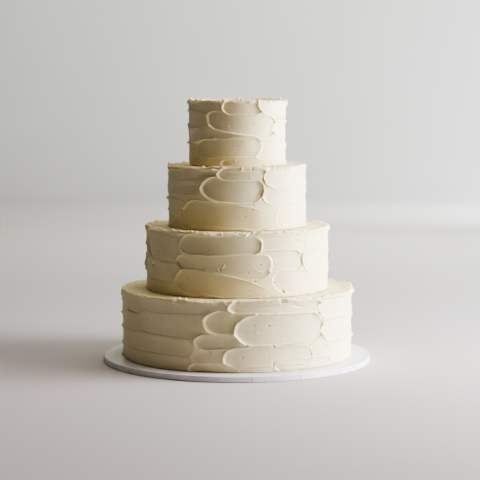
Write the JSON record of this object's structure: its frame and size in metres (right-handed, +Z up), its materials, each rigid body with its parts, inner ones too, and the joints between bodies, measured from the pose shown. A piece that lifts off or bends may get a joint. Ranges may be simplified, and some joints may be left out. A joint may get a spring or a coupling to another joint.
{
  "type": "tiered wedding cake",
  "caption": "Tall round wedding cake of stacked tiers in ivory buttercream laid on with broad spatula strokes, standing on its white wrapped cake board.",
  "frame": {"origin": "centre of the cake board's underside, on the axis that all tiers share", "axes": "+Z up along the cake's axis; the front of the cake, which shows the broad overlapping strokes, faces -Y; +X is to the viewer's right"},
  "size_m": [0.3048, 0.3048, 0.2982],
  "materials": {
    "buttercream": "soft satin buttercream, ivory, slightly translucent",
    "board_wrap": "white embossed wrapping paper with a slight sheen"
  },
  "bodies": {
    "root": {"cake_board": "board_wrap", "tier_1": "buttercream", "tier_2": "buttercream", "tier_3": "buttercream", "tier_4": "buttercream"}
  },
  "joints": []
}
